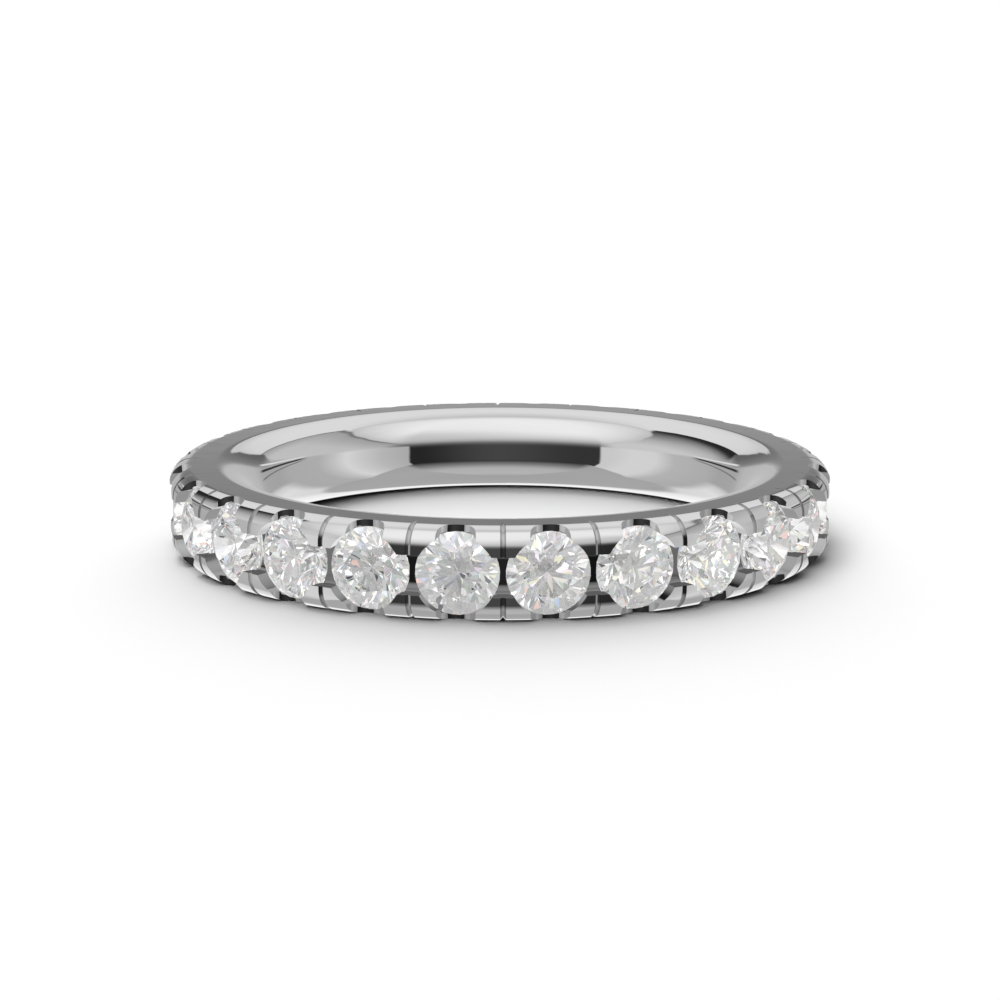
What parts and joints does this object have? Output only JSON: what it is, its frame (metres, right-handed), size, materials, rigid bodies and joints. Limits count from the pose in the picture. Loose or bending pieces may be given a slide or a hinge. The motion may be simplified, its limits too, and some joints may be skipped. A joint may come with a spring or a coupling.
{
  "type": "eternity ring",
  "caption": "Full eternity ring: a polished court-shaped band with round brilliant stones all the way round, held by split prongs and opened by a scallop at both sides of each stone.",
  "frame": {"origin": "on the finger bore's axis, in the plane of the side face that the ring rests on", "axes": "+Z along the finger, out of the upper side face; -Y points at the groove between the first and the last stone"},
  "size_m": [0.0228, 0.0228, 0.003],
  "materials": {
    "white_gold": "mirror polished white precious metal",
    "brilliant": "polished facets, colourless"
  },
  "bodies": {
    "root": {"band": "white_gold", "stone_01": "brilliant", "stone_02": "brilliant", "stone_03": "brilliant", "stone_04": "brilliant", "stone_05": "brilliant", "stone_06": "brilliant", "stone_07": "brilliant", "stone_08": "brilliant", "stone_09": "brilliant", "stone_10": "brilliant", "stone_11": "brilliant", "stone_12": "brilliant", "stone_13": "brilliant", "stone_14": "brilliant", "stone_15": "brilliant", "stone_16": "brilliant", "stone_17": "brilliant", "stone_18": "brilliant", "stone_19": "brilliant", "stone_20": "brilliant", "stone_21": "brilliant", "stone_22": "brilliant", "stone_23": "brilliant", "stone_24": "brilliant"}
  },
  "joints": []
}
